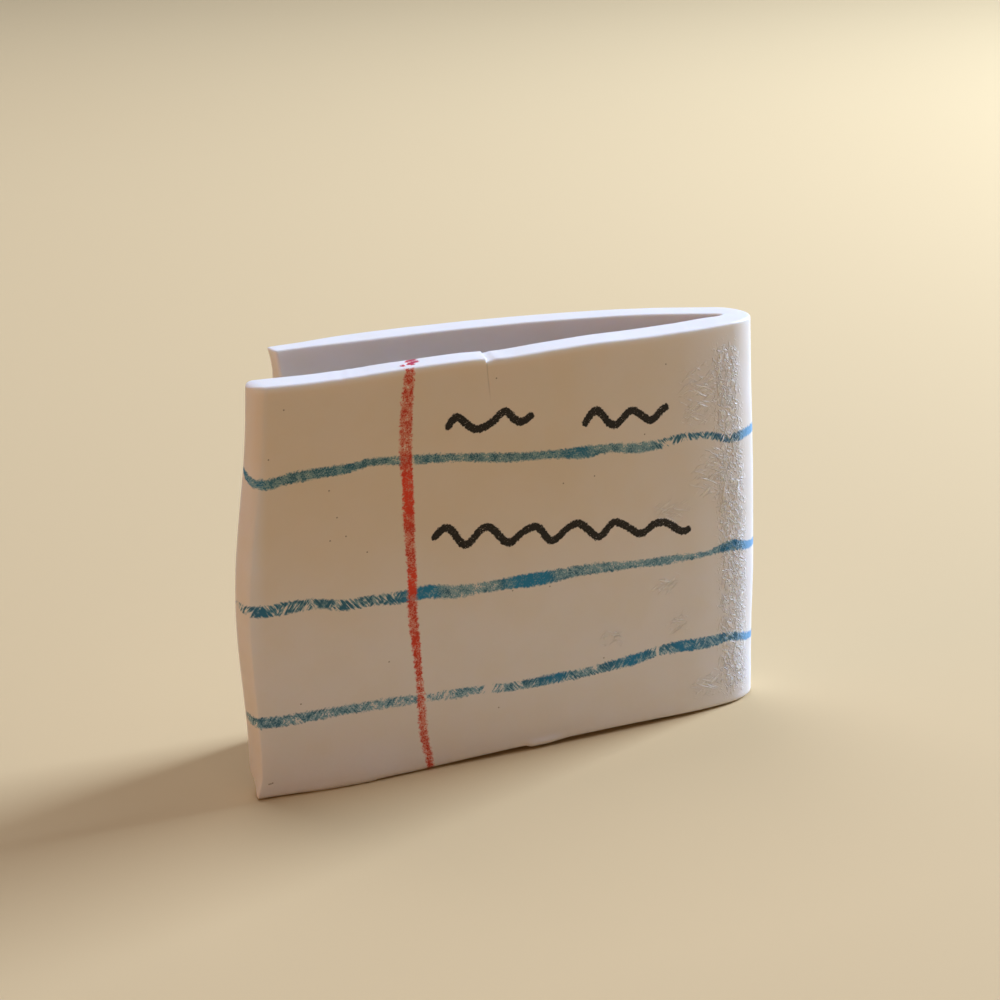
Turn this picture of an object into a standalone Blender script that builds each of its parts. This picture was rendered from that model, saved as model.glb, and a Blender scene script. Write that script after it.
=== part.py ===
"""A folded note: one thick hand-rolled sheet, ruled in blue with a red margin line,
folded once and stood on its long edge.

The sheet is a rounded rectangular section swept along a plan made of tangent arcs:
front panel, front shoulder, bend, fold, back shoulder, back panel.
Distances along the sheet start at the front panel's free end, and heights at the floor.
All sizes are in metres and all angles in degrees. X runs from the free ends to the fold,
-Y is the front, and the origin is on the floor under the middle of the note.
"""

import math

import bmesh
import bpy
from mathutils import Matrix, Vector

# The sheet
SHEET_THICKNESS = 0.0027
SHEET_HEIGHT = 0.0370
TOP_EDGE_ROUNDING = 0.00025
FOOT_EDGE_ROUNDING = 0.0003

# The plan, from the front panel's free end to the back panel's
FRONT_LENGTH = 0.03985
FRONT_BOW = 6.0
FRONT_SHOULDER_LENGTH = 0.0055
FRONT_SHOULDER_TURN = 9.0
BEND_LENGTH = 0.0020
BEND_TURN = 24.0
FOLD_INNER_RADIUS = 0.00045
BACK_SHOULDER_LENGTH = 0.0113
BACK_SHOULDER_TURN = 15.0
BACK_LENGTH = 0.0308
BACK_BOW = 20.0
MOUTH_GAP = 0.0086

# The clay is bunched up on the inner face just before the fold
BUNCH_THICKNESS = 0.0003
BUNCH_RISE_LENGTH = 0.012
BUNCH_LEVEL_LENGTH = 0.006
BUNCH_FALL_LENGTH = 0.004

# The note is a little longer at the floor than at the top
FOOT_SPREAD = 0.0027

# The fold bulges outwards at mid-height, and draws the panels beside it along
FOLD_BULGE = 0.0003
FOLD_BULGE_REACH = 0.012

# The foot of the front panel is arched a little off the floor
FOOT_ARCH = 0.0003
FOOT_ARCH_MIDDLE = 0.0315
FOOT_ARCH_REACH = 0.0175
FOOT_ARCH_HEIGHT = 0.007

# The front panel's free end: it is rounded and bulges at mid-height, its inner side stands out
# a little further, and its foot is pinched to a point
FRONT_END_BULGE = 0.0011
FRONT_END_BULGE_MIDDLE = 0.0178
FRONT_END_BULGE_REACH = 0.0169
FRONT_END_INSET = 0.00033
FRONT_END_SKEW = 0.00023
FRONT_END_CROWN = 0.00101
FRONT_FOOT_CROWN = 0.00033
FRONT_FOOT_PINCH = 0.00105
FRONT_FOOT_PINCH_HEIGHT = 0.0022
FRONT_END_BLEND = 0.009

# The back panel's free end is plainer, and thinner than the rest; it stands out most at the top
BACK_END_CROWN = 0.0004
BACK_END_THINNING = 0.0010
BACK_END_TAPER_LENGTH = 0.009
BACK_END_LEAN = 0.00055
BACK_END_LEAN_DROP = 0.0030

# How round the free ends are across their thickness: 1 is half an ellipse, more is more pointed
FRONT_END_ROUNDNESS = 1.13
BACK_END_ROUNDNESS = 0.7

# The top edge was cut by hand: its rise and fall along the front panel, and the back panel's drop
TOP_WANDER_STEP = 0.0045
TOP_WANDERS = (
    -0.00010, -0.00015, 0.00000, 0.00014, 0.00022, 0.00005, 0.00020,
    0.00030, 0.00022, 0.00024, 0.00028, 0.00015, 0.00010,
)
BACK_TOP_DROP = 0.0004

# A nick in the top edge of the front panel
NICK_DISTANCE = 0.0204
NICK_WIDTH = 0.0011
NICK_DEPTH = 0.0003
NICK_FADE = 0.003

# Blue ruled lines, from the top down; each wanders as a hand-drawn line does
RULE_WIDTH = 0.0010
FIRST_RULE_DROP = 0.0083
RULE_PITCH = 0.0108
RULE_LOWEST = 0.0045
RULE_WANDER_STEP = 0.010
RULE_WANDERS = (
    (0.0000, 0.0006, -0.0004, -0.0013, -0.0015, -0.0023, -0.0021, -0.0016, -0.0018, -0.0014, -0.0016),
    (-0.0005, -0.0011, -0.0016, -0.0015, -0.0021, -0.0030, -0.0026, -0.0019, -0.0015, -0.0012, -0.0012),
    (0.0002, 0.0000, -0.0003, -0.0006, 0.0000, -0.0008, -0.0006, -0.0002, 0.0001, -0.0002, -0.0004),
)

# The red margin line, which leans towards the fold at its foot
MARGIN_DISTANCE = 0.0134
MARGIN_WIDTH = 0.0010
MARGIN_LEAN_STEP = 0.0095
MARGIN_LEANS = (0.0017, 0.0005, -0.0001, -0.0006, -0.0003)
MARGIN_LEAN_REACH = 0.0065

# How finely the surface is divided
PANEL_STEP = 0.0019
FOLD_STEPS = 17
CORNER_STEPS = 3
ROW_STEP = 0.0042
END_STEPS = 3
END_LAST_ANGLE = 85.0
LEAST_COLUMN_STEP = 0.0004

# Colours (linear) and roughness, read off the photo
CLAY_COLOUR = (0.78, 0.76, 0.74)
CLAY_ROUGHNESS = 0.5
BLUE_COLOUR = (0.09, 0.30, 0.55)
RED_COLOUR = (0.62, 0.14, 0.08)
PENCIL_ROUGHNESS = 0.7

HALF_THICKNESS = SHEET_THICKNESS / 2
CLAY, BLUE, RED = range(3)


def smooth_step(low, high, value):
    """0 below low, 1 above high, and a smooth rise between."""
    t = min(max((value - low) / (high - low), 0.0), 1.0)
    return t * t * (3.0 - 2.0 * t)


def smooth_bump(distance, reach):
    """1 at no distance, falling smoothly to 0 at the reach."""
    if abs(distance) >= reach:
        return 0.0
    return 0.5 + 0.5 * math.cos(math.pi * distance / reach)


def smooth_course(values, step, distance):
    """A smooth curve through evenly spaced values, held level past both ends."""
    place = min(max(distance / step, 0.0), len(values) - 1.000001)
    i = int(place)
    t = place - i
    before, here = values[max(i - 1, 0)], values[i]
    after, beyond = values[i + 1], values[min(i + 2, len(values) - 1)]
    leave, arrive = (after - before) / 2, (beyond - here) / 2
    return (here * (2 * t**3 - 3 * t**2 + 1) + leave * (t**3 - 2 * t**2 + t)
            + after * (3 * t**2 - 2 * t**3) + arrive * (t**3 - t**2))


class Plan:
    """The sheet's mid-line seen from above: tangent arcs, one for each stretch."""

    def __init__(self, fold_turn):
        self.fold_length = (FOLD_INNER_RADIUS + HALF_THICKNESS) * math.radians(fold_turn)
        self.stretches = (
            (FRONT_LENGTH, math.radians(FRONT_BOW)),
            (FRONT_SHOULDER_LENGTH, math.radians(FRONT_SHOULDER_TURN)),
            (BEND_LENGTH, math.radians(BEND_TURN)),
            (self.fold_length, math.radians(fold_turn)),
            (BACK_SHOULDER_LENGTH, math.radians(BACK_SHOULDER_TURN)),
            (BACK_LENGTH, math.radians(BACK_BOW)),
        )
        self.length = sum(length for length, _ in self.stretches)
        self.bend_start = FRONT_LENGTH + FRONT_SHOULDER_LENGTH
        self.fold_start = self.bend_start + BEND_LENGTH
        self.fold_end = self.fold_start + self.fold_length
        self.turn = Matrix.Identity(2)
        middle = self.point((self.fold_start + self.fold_end) / 2)
        front = math.atan2(*(middle - self.point(0.0)).yx)
        back = math.atan2(*(middle - self.point(self.length)).yx)
        self.turn = Matrix.Rotation(-(front + back) / 2, 2)

    def place(self, distance):
        """The mid-line's point at a distance along it, and its left-hand normal."""
        x, y, heading = 0.0, 0.0, 0.0
        left = distance
        for i, (length, turn) in enumerate(self.stretches):
            last = i == len(self.stretches) - 1
            part = left if last or left < length else length
            curve = turn / length * max(part, 0.0)
            chord = part * (math.sin(curve / 2) / (curve / 2) if curve else 1.0)
            x += chord * math.cos(heading + curve / 2)
            y += chord * math.sin(heading + curve / 2)
            heading += curve
            left -= part
            if left <= 0.0:
                break
        normal = Vector((-math.sin(heading), math.cos(heading)))
        return self.turn @ Vector((x, y)), self.turn @ normal

    def point(self, distance, across=0.0):
        """A point of the sheet from above; across is positive on the inner side."""
        point, normal = self.place(distance)
        return point + normal * across

    def mouth(self):
        """The clear gap between the back panel's free end and the front panel."""
        tip = self.point(self.length, HALF_THICKNESS)
        steps = 60
        inner_face = (self.point(FRONT_LENGTH * i / steps, HALF_THICKNESS) for i in range(steps + 1))
        return min((point - tip).length for point in inner_face)


def close_to_mouth_gap():
    """The plan whose fold is closed just far enough to leave the mouth gap."""
    loose, tight = 90.0, 175.0
    for _ in range(40):
        turn = (loose + tight) / 2
        if Plan(turn).mouth() > MOUTH_GAP:
            loose = turn
        else:
            tight = turn
    return Plan(turn)


def rule_count():
    """How many blue lines fit between the first and the lowest place for one."""
    room = SHEET_HEIGHT - FIRST_RULE_DROP - RULE_LOWEST
    return max(int(room / RULE_PITCH) + 1, 0) if room > 0 else 0


def rule_height(number, distance):
    """The height of a blue line's middle, counted from the top down."""
    level = SHEET_HEIGHT - FIRST_RULE_DROP - number * RULE_PITCH
    wander = RULE_WANDERS[number % len(RULE_WANDERS)]
    return level + smooth_course(wander, RULE_WANDER_STEP, distance)


def face_rows(distance):
    """Heights of the rows on a face at one column, and whether a row starts a blue line."""
    rows = []
    low = FOOT_EDGE_ROUNDING
    for number in reversed(range(rule_count())):
        middle = rule_height(number, distance)
        level = SHEET_HEIGHT - FIRST_RULE_DROP - number * RULE_PITCH
        previous = level - RULE_PITCH if rows else FOOT_EDGE_ROUNDING
        fill = max(round((level - previous) / ROW_STEP), 1)
        high = middle - RULE_WIDTH / 2
        rows += [(low + (high - low) * i / fill, False) for i in range(fill)]
        rows.append((high, True))
        low = middle + RULE_WIDTH / 2
    high = SHEET_HEIGHT - TOP_EDGE_ROUNDING
    fill = max(round(min(FIRST_RULE_DROP, high) / ROW_STEP), 1)
    rows += [(low + (high - low) * i / fill, False) for i in range(fill + 1)]
    return rows


def section(distance):
    """The section's outline at one column as (across, height, starts_a_line) points.

    It goes up the outer face, over the top edge, down the inner face and under the foot.
    Its second half mirrors the first, so that the ends can be closed straight across.
    """
    side = []
    foot, top = FOOT_EDGE_ROUNDING, TOP_EDGE_ROUNDING
    for i in range(CORNER_STEPS):
        angle = math.radians(90.0 * i / CORNER_STEPS)
        side.append((HALF_THICKNESS - foot + foot * math.sin(angle), foot - foot * math.cos(angle), False))
    side += [(HALF_THICKNESS, height, starts) for height, starts in face_rows(distance)]
    for i in range(1, CORNER_STEPS + 1):
        angle = math.radians(90.0 * i / CORNER_STEPS)
        side.append((HALF_THICKNESS - top + top * math.cos(angle),
                     SHEET_HEIGHT - top + top * math.sin(angle), False))
    outer = [(-across, height, starts) for across, height, starts in side]
    inner = [(across, height, False) for across, height, _ in reversed(side)]
    return outer + inner


def columns(plan):
    """Distances of the columns along the sheet, with some at the margin line and the nick."""
    fixed = [MARGIN_DISTANCE - MARGIN_WIDTH / 2, MARGIN_DISTANCE + MARGIN_WIDTH / 2]
    fixed += [NICK_DISTANCE - NICK_WIDTH / 2, NICK_DISTANCE, NICK_DISTANCE + NICK_WIDTH / 2]
    even = []
    starts = [0.0, plan.bend_start, plan.fold_end]
    ends = [plan.bend_start, plan.fold_end, plan.length]
    counts = [round((ends[0] - starts[0]) / PANEL_STEP), FOLD_STEPS, round((ends[2] - starts[2]) / PANEL_STEP)]
    for start, end, count in zip(starts, ends, counts):
        even += [start + (end - start) * i / count for i in range(count)]
    even.append(plan.length)
    kept = [d for d in even if all(abs(d - f) > LEAST_COLUMN_STEP for f in fixed)]
    return sorted(kept + fixed)


def margin_lean(height):
    """How far the margin line stands from its mean distance at a height."""
    return smooth_course(MARGIN_LEANS, MARGIN_LEAN_STEP, height)


def front_end_reach(across, height):
    """How far the front panel's free end stands out past distance zero."""
    bulge = FRONT_END_BULGE * smooth_bump(height - FRONT_END_BULGE_MIDDLE, FRONT_END_BULGE_REACH)
    above_foot = smooth_step(0.0, FRONT_FOOT_PINCH_HEIGHT, height)
    skew = (FRONT_END_SKEW + FRONT_FOOT_PINCH) * above_foot - FRONT_FOOT_PINCH
    return bulge - FRONT_END_INSET * above_foot + skew * (0.5 + across / SHEET_THICKNESS)


def bunch_thickness(plan, along):
    """How much the inner face stands out with the clay bunched up before the fold."""
    fall_start = plan.fold_start - BUNCH_FALL_LENGTH
    rise_end = fall_start - BUNCH_LEVEL_LENGTH
    rise = smooth_step(rise_end - BUNCH_RISE_LENGTH, rise_end, along)
    return BUNCH_THICKNESS * rise * (1.0 - smooth_step(fall_start, plan.fold_start, along))


def fold_bulge(plan, along, height):
    """How far the fold and what is next to it stand out along X, most at mid-height."""
    before = smooth_step(plan.fold_start - FOLD_BULGE_REACH, plan.fold_start, along)
    past = smooth_step(plan.fold_end, plan.fold_end + FOLD_BULGE_REACH, along)
    return FOLD_BULGE * before * (1.0 - past) * smooth_bump(height - SHEET_HEIGHT / 2, SHEET_HEIGHT / 2)


def foot_lift(distance, height):
    """How far the arched foot of the front panel is off the floor."""
    arch = smooth_bump(distance - FOOT_ARCH_MIDDLE, FOOT_ARCH_REACH)
    return FOOT_ARCH * arch * (1.0 - smooth_step(0.0, FOOT_ARCH_HEIGHT, height))


def sheet_point(plan, distance, across, height):
    """A point of the standing note, from its place on the flat sheet."""
    lean = smooth_bump(distance - MARGIN_DISTANCE, MARGIN_LEAN_REACH)
    along = distance + margin_lean(height) * lean
    near_end = 1.0 - smooth_step(0.0, FRONT_END_BLEND, distance)
    along -= front_end_reach(across, height) * near_end
    far_end = smooth_step(plan.length - BACK_END_TAPER_LENGTH, plan.length, distance)
    above = min(max(1.0 - (SHEET_HEIGHT - height) / BACK_END_LEAN_DROP, 0.0), 1.0)
    along -= BACK_END_LEAN * far_end * (1.0 - above**2)
    inner = 0.5 + across / SHEET_THICKNESS
    taper = smooth_step(plan.length - BACK_END_TAPER_LENGTH, plan.length, along)
    depth = across * (1.0 - BACK_END_THINNING / SHEET_THICKNESS * taper)
    depth += bunch_thickness(plan, along) * inner
    nick = NICK_DEPTH * smooth_bump(distance - NICK_DISTANCE, NICK_WIDTH / 2) * (1.0 - inner)
    nick *= smooth_step(SHEET_HEIGHT - NICK_FADE, SHEET_HEIGHT, height)
    wander = smooth_course(TOP_WANDERS, TOP_WANDER_STEP, along)
    wander -= BACK_TOP_DROP * smooth_step(plan.fold_end, plan.length, along)
    wander *= smooth_step(SHEET_HEIGHT / 2, SHEET_HEIGHT, height)
    x, y = plan.point(along, depth)
    x += fold_bulge(plan, along, height)
    return Vector((x, y, height + wander - nick + foot_lift(distance, height)))


def spread_foot(points):
    """Lengthen the note towards the floor, evenly about its middle."""
    low, high = min(p.x for p in points), max(p.x for p in points)
    middle, length = (low + high) / 2, high - low
    for point in points:
        point.x += (point.x - middle) * FOOT_SPREAD / length * (1.0 - point.z / SHEET_HEIGHT)


def stand_on_origin(points):
    """Bring the origin to the floor, under the middle of the note."""
    lows = [min(p[i] for p in points) for i in range(3)]
    highs = [max(p[i] for p in points) for i in range(3)]
    base = Vector(((lows[0] + highs[0]) / 2, (lows[1] + highs[1]) / 2, lows[2]))
    for point in points:
        point -= base


def end_ring(plan, distance, outward, crown, foot_crown, roundness, angle):
    """One ring of a crowned free end: it stands further out the narrower it is."""
    normal = plan.place(distance)[1]
    direction = Vector((normal.y, -normal.x, 0.0)) * outward
    narrowing, share = math.cos(angle) ** roundness, math.sin(angle) ** roundness
    ring = []
    for across, height, _ in section(distance):
        blend = smooth_step(0.0, SHEET_HEIGHT, height)
        reach = foot_crown + (crown - foot_crown) * blend
        inset = TOP_EDGE_ROUNDING * (1.0 - narrowing)
        middle = SHEET_HEIGHT / 2
        level = middle + (height - middle) * (1.0 - inset / middle)
        base = sheet_point(plan, distance, across * narrowing, level)
        ring.append(base + direction * reach * share)
    return ring


def material(name, colour, roughness):
    made = bpy.data.materials.new(name)
    made.use_nodes = True
    shader = made.node_tree.nodes["Principled BSDF"]
    shader.inputs["Base Color"].default_value = (*colour, 1.0)
    shader.inputs["Roughness"].default_value = roughness
    shader.inputs["Metallic"].default_value = 0.0
    return made


def face_colour(column, next_column, starts_line, outer_side):
    """Which field of colour a face belongs to; the margin line is drawn over the blue ones."""
    middle = (column + next_column) / 2
    if outer_side and abs(middle - MARGIN_DISTANCE) < MARGIN_WIDTH / 2:
        return RED
    return BLUE if starts_line else CLAY


def sheet_rings():
    """All rings of the surface from the front end to the back one, and their distances."""
    plan = close_to_mouth_gap()
    angles = [math.radians(END_LAST_ANGLE * i / END_STEPS) for i in range(END_STEPS, 0, -1)]
    front_end = (0.0, -1.0, FRONT_END_CROWN, FRONT_FOOT_CROWN, FRONT_END_ROUNDNESS)
    back_end = (plan.length, 1.0, BACK_END_CROWN, BACK_END_CROWN, BACK_END_ROUNDNESS)
    rings = [end_ring(plan, *front_end, angle) for angle in angles]
    places = [0.0] * END_STEPS
    for distance in columns(plan):
        rings.append([sheet_point(plan, distance, a, h) for a, h, _ in section(distance)])
        places.append(distance)
    rings += [end_ring(plan, *back_end, angle) for angle in reversed(angles)]
    places += [plan.length] * END_STEPS
    points = [point for ring in rings for point in ring]
    spread_foot(points)
    stand_on_origin(points)
    return rings, places


def folded_sheet():
    rings, places = sheet_rings()
    outline = section(0.0)
    count, half = len(outline), len(outline) // 2
    mesh = bpy.data.meshes.new("folded_sheet")
    shape = bmesh.new()
    verts = [[shape.verts.new(point) for point in ring] for ring in rings]
    for r in range(len(rings) - 1):
        for i in range(count):
            j = (i + 1) % count
            face = shape.faces.new((verts[r][i], verts[r][j], verts[r + 1][j], verts[r + 1][i]))
            face.material_index = face_colour(places[r], places[r + 1], outline[i][2], i < half)
    for ring in (verts[0], verts[-1]):
        for i in range(half - 1):
            face = shape.faces.new((ring[i], ring[i + 1], ring[count - 2 - i], ring[count - 1 - i]))
            face.material_index = face_colour(0.0, 0.0, outline[i][2], True)
    bmesh.ops.recalc_face_normals(shape, faces=shape.faces)
    shape.to_mesh(mesh)
    shape.free()

    mesh.materials.append(material("clay_white", CLAY_COLOUR, CLAY_ROUGHNESS))
    mesh.materials.append(material("pencil_blue", BLUE_COLOUR, PENCIL_ROUGHNESS))
    mesh.materials.append(material("pencil_red", RED_COLOUR, PENCIL_ROUGHNESS))
    mesh.shade_smooth()
    mesh.set_sharp_from_angle(angle=math.radians(40.0))
    note = bpy.data.objects.new("folded_sheet", mesh)
    bpy.context.scene.collection.objects.link(note)
    return note


for old in list(bpy.data.objects):
    bpy.data.objects.remove(old)

folded_sheet()
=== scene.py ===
"""The folded note, finished for its picture: one thick sheet of white clay, folded once,
with ruled lines and squiggles drawn on it in coloured pencil.

Sizes are in millimetres here, and become metres as the mesh is made. Distances run along
the sheet's middle from the front panel's free end, and heights start at the floor.
"""

import math

import bpy
import numpy as np
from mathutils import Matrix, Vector, noise


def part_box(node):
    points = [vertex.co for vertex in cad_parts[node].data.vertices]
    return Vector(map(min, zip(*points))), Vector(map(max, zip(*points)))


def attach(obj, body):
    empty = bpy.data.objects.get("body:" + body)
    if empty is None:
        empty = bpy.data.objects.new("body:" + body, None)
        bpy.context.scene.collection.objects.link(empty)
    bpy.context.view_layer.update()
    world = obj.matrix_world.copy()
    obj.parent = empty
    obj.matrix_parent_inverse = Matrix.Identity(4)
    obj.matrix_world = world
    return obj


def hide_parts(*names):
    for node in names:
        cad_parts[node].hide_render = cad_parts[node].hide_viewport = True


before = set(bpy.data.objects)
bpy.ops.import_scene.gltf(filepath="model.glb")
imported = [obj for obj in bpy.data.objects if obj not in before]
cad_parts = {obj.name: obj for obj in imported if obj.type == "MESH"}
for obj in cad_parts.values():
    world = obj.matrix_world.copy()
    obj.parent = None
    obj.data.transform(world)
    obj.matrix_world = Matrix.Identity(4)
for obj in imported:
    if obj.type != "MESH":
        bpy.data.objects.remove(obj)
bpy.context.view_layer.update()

METRES = 0.001

# The sheet and its plan, as in the frame
THICKNESS = 2.7
HALF = THICKNESS / 2
HEIGHT = 37.0
TOP_ROUNDING = 0.25
FOOT_ROUNDING = 0.3
FRONT_LENGTH, FRONT_BOW = 39.85, 6.0
FRONT_SHOULDER_LENGTH, FRONT_SHOULDER_TURN = 5.5, 9.0
BEND_LENGTH, BEND_TURN = 2.0, 24.0
FOLD_INNER_RADIUS = 0.45
BACK_SHOULDER_LENGTH, BACK_SHOULDER_TURN = 11.3, 15.0
BACK_LENGTH, BACK_BOW = 30.8, 20.0
MOUTH_GAP = 8.6
BUNCH_THICKNESS = 0.3
BUNCH_RISE_LENGTH, BUNCH_LEVEL_LENGTH, BUNCH_FALL_LENGTH = 12.0, 6.0, 4.0
FOLD_BULGE, FOLD_BULGE_REACH = 0.3, 12.0
FOOT_ARCH, FOOT_ARCH_MIDDLE, FOOT_ARCH_REACH, FOOT_ARCH_HEIGHT = 0.3, 31.5, 17.5, 7.0
FOOT_SPREAD = 2.7

# The free ends
FRONT_END_BULGE, FRONT_END_BULGE_MIDDLE, FRONT_END_BULGE_REACH = 1.1, 17.8, 16.9
FRONT_END_INSET, FRONT_END_SKEW = 0.33, 0.23
FRONT_END_CROWN, FRONT_FOOT_CROWN = 1.01, 0.33
FRONT_FOOT_PINCH, FRONT_FOOT_PINCH_HEIGHT = 1.05, 2.2
FRONT_END_BLEND = 9.0
BACK_END_CROWN = 0.4
BACK_END_THINNING, BACK_END_TAPER_LENGTH = 1.0, 9.0
BACK_END_LEAN, BACK_END_LEAN_DROP = 0.55, 3.0
FRONT_END_ROUNDNESS, BACK_END_ROUNDNESS = 1.13, 0.7

# The hand-cut top edge
TOP_WANDER_STEP = 4.5
TOP_WANDERS = (-0.1, -0.15, 0.0, 0.14, 0.22, 0.05, 0.2, 0.3, 0.22, 0.24, 0.28, 0.15, 0.1)
BACK_TOP_DROP = 0.4

# The nick in the top edge, and the hairline crack that runs down from it
NICK_DISTANCE, NICK_LEAN = 20.35, 0.75
NICK_STEP, NICK_RISE_LENGTH, NICK_DEPTH = 0.1, 1.2, 0.25
NICK_LIP_HEIGHT, NICK_LIP_LENGTH = 0.05, 3.2
NICK_FADE, NICK_LEAN_FADE, NICK_INNER_LOSS = 1.0, 3.0, 0.6
CRACK_LENGTH, CRACK_LEAN = 4.2, 0.45
CRACK_WIDTH, CRACK_DEPTH = 0.09, 0.04
CRACK_REACH = 2.5

# Soft creases pressed into the top edge near the front end: distance, width, depth
TOP_CREASES = ((7.6, 0.7, 0.035), (8.6, 0.5, 0.03), (9.4, 0.8, 0.02))
CREASE_SLANT = 0.35

# Along the front foot: a small step up, a second low arch, a slight flare and a squeezed lip
FOOT_STEP, FOOT_STEP_DISTANCE, FOOT_STEP_WIDTH, FOOT_STEP_FADE, FOOT_STEP_HEIGHT = 0.1, 10.2, 0.25, 5.0, 1.2
FOOT_LIFT, FOOT_LIFT_MIDDLE, FOOT_LIFT_REACH = 0.15, 21.5, 9.0
FOOT_FLARE, FOOT_FLARE_MIDDLE, FOOT_FLARE_REACH, FOOT_FLARE_HEIGHT = 0.4, 8.0, 8.0, 4.0
LIP_START, LIP_END, LIP_REACH, LIP_HEIGHT = 24.3, 28.9, 0.2, 0.7

# How far the hand-rolled surface rises and falls, and over what distance
ROLLING = ((0.055, 7.5), (0.018, 2.4))

# Crazing where the clay was stretched round the fold: where it rises and falls along and up,
# and the pitch, length and bend of its wrinkles, of which one set is turned
CRAZING_RISE = (43.0, 44.4)
CRAZING_FALL = (45.9, 47.0)
CRAZING_FOOT, CRAZING_TOP = (0.2, 2.5), (33.5, 36.2)
CRAZING_LEAN = 0.03
CRAZING_HEIGHT = 0.045
WRINKLE_PITCH, WRINKLE_LENGTH, WRINKLE_BEND = 0.36, 0.55, 0.45
WRINKLE_SLANT = ((0.8, 0.6, 0.0), (-0.6, 0.8, 0.0), (0.0, 0.0, 1.0))

# Flecks in the finish there, and in fans beside it: angle in degrees, length, width
UPRIGHT_FLECKS = ((76.0, 0.6, 0.32), (-48.0, 0.6, 0.30))
FAN_FLECKS = ((-24.0, 1.8, 0.26), (30.0, 1.5, 0.26))

# Patches of fine wrinkles on the front panel: distance, height, reach along, reach up
WRINKLE_PATCHES = (
    (41.6, 31.0, 3.6, 4.8), (42.8, 23.5, 3.0, 4.0), (39.6, 9.6, 2.2, 1.6), (32.8, 9.2, 2.0, 1.5),
    (42.6, 2.6, 2.8, 2.2), (38.5, 20.5, 3.0, 1.9), (38.2, 13.4, 2.6, 1.4),
)

# How finely the surface is divided
FRONT_STEP, CRAZED_START, CRAZED_STEP, FOLD_STEP, BACK_STEP = 0.27, 33.0, 0.15, 0.1, 0.75
CRACK_STEPS, CRACK_STEP = 4, 0.045
OUTER_ROW_STEP, INNER_ROW_STEP = 0.2, 0.7
CORNER_STEPS, FLAT_STEPS = 6, 12
END_STEPS, END_LAST_ANGLE = 9, 88.0

# Blue lines: heights, half widths and pressure at even steps, starting round the front end
RULE_START, RULE_STEP = -2.5, 2.5
RULE_HEIGHTS = (
    (30.3, 28.6, 28.86, 29.0, 29.02, 29.28, 29.0, 28.8, 28.53, 28.27, 27.97, 27.74, 27.51, 27.3, 27.33,
     26.97, 26.96, 27.24, 26.98, 26.3, 26.5, 26.6, 26.6, 27.1, 27.6, 28.1, 28.3, 28.4, 28.4, 28.2, 28.3,
     28.6, 28.8, 28.7, 28.5, 28.6, 28.8, 28.9, 28.9),
    (17.9, 17.28, 17.31, 17.25, 16.75, 16.82, 16.68, 16.81, 16.37, 16.36, 16.35, 16.31, 16.32, 16.37, 16.22,
     16.05, 15.87, 15.81, 15.72, 16.0, 15.4, 16.2, 16.3, 16.3, 16.6, 16.9, 17.1, 17.0, 17.2, 17.4, 17.3,
     17.1, 17.2, 17.5, 17.6, 17.5, 17.4, 17.6, 17.7),
    (7.5, 7.14, 7.0, 7.03, 7.07, 7.05, 6.98, 6.9, 6.77, 6.74, 6.46, 6.4, 6.45, 6.44, 6.57,
     6.73, 7.1, 7.08, 6.89, 6.88, 6.14, 5.9, 6.0, 6.2, 6.4, 6.5, 6.4, 6.5, 6.7, 6.8, 6.7,
     6.6, 6.7, 6.9, 7.0, 6.9, 6.8, 7.0, 7.1),
)
RULE_HALF_WIDTHS = (
    (0.16, 0.42, 0.45, 0.44, 0.40, 0.33, 0.38, 0.40, 0.32, 0.40, 0.40, 0.35, 0.39, 0.54, 0.36,
     0.48, 0.40, 0.34, 0.28, 0.38, 0.42, 0.34, 0.34, 0.36, 0.38, 0.34, 0.32, 0.36, 0.40, 0.36, 0.32,
     0.34, 0.38, 0.40, 0.36, 0.34, 0.36, 0.34, 0.30),
    (0.18, 0.50, 0.52, 0.42, 0.45, 0.44, 0.54, 0.58, 0.58, 0.48, 0.52, 0.64, 0.52, 0.48, 0.45,
     0.32, 0.40, 0.32, 0.24, 0.50, 0.36, 0.26, 0.36, 0.38, 0.42, 0.40, 0.36, 0.38, 0.42, 0.44, 0.38,
     0.36, 0.40, 0.42, 0.38, 0.36, 0.38, 0.36, 0.32),
    (0.28, 0.48, 0.46, 0.44, 0.40, 0.43, 0.44, 0.30, 0.42, 0.34, 0.40, 0.44, 0.46, 0.40, 0.46,
     0.52, 0.46, 0.54, 0.54, 0.44, 0.36, 0.30, 0.32, 0.36, 0.38, 0.36, 0.34, 0.38, 0.40, 0.36, 0.34,
     0.36, 0.38, 0.36, 0.34, 0.36, 0.38, 0.34, 0.30),
)
RULE_PRESSURES = (
    (0.85, 0.80, 0.68, 0.72, 0.74, 0.66, 0.62, 0.72, 0.68, 0.64, 0.66, 0.72, 0.76, 0.80, 0.62,
     0.50, 0.52, 0.70, 0.74, 0.66, 0.62, 0.50, 0.60, 0.62, 0.66, 0.70, 0.64, 0.60, 0.66, 0.70, 0.62,
     0.58, 0.64, 0.70, 0.66, 0.60, 0.62, 0.66, 0.60),
    (0.40, 0.76, 0.72, 0.68, 0.72, 0.70, 0.80, 1.0, 0.46, 0.44, 0.86, 1.05, 0.72, 0.66, 0.62,
     0.56, 0.60, 0.52, 0.56, 0.84, 0.55, 0.60, 0.60, 0.64, 0.70, 0.66, 0.60, 0.64, 0.70, 0.66, 0.60,
     0.62, 0.68, 0.66, 0.60, 0.64, 0.70, 0.64, 0.58),
    (0.50, 0.66, 0.60, 0.62, 0.58, 0.56, 0.52, 0.40, 0.48, 0.42, 0.50, 0.74, 0.84, 0.62, 0.74,
     0.88, 0.72, 0.86, 0.74, 0.76, 0.62, 0.52, 0.56, 0.60, 0.64, 0.58, 0.54, 0.60, 0.64, 0.60, 0.56,
     0.58, 0.62, 0.58, 0.54, 0.58, 0.60, 0.56, 0.50),
)
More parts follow.
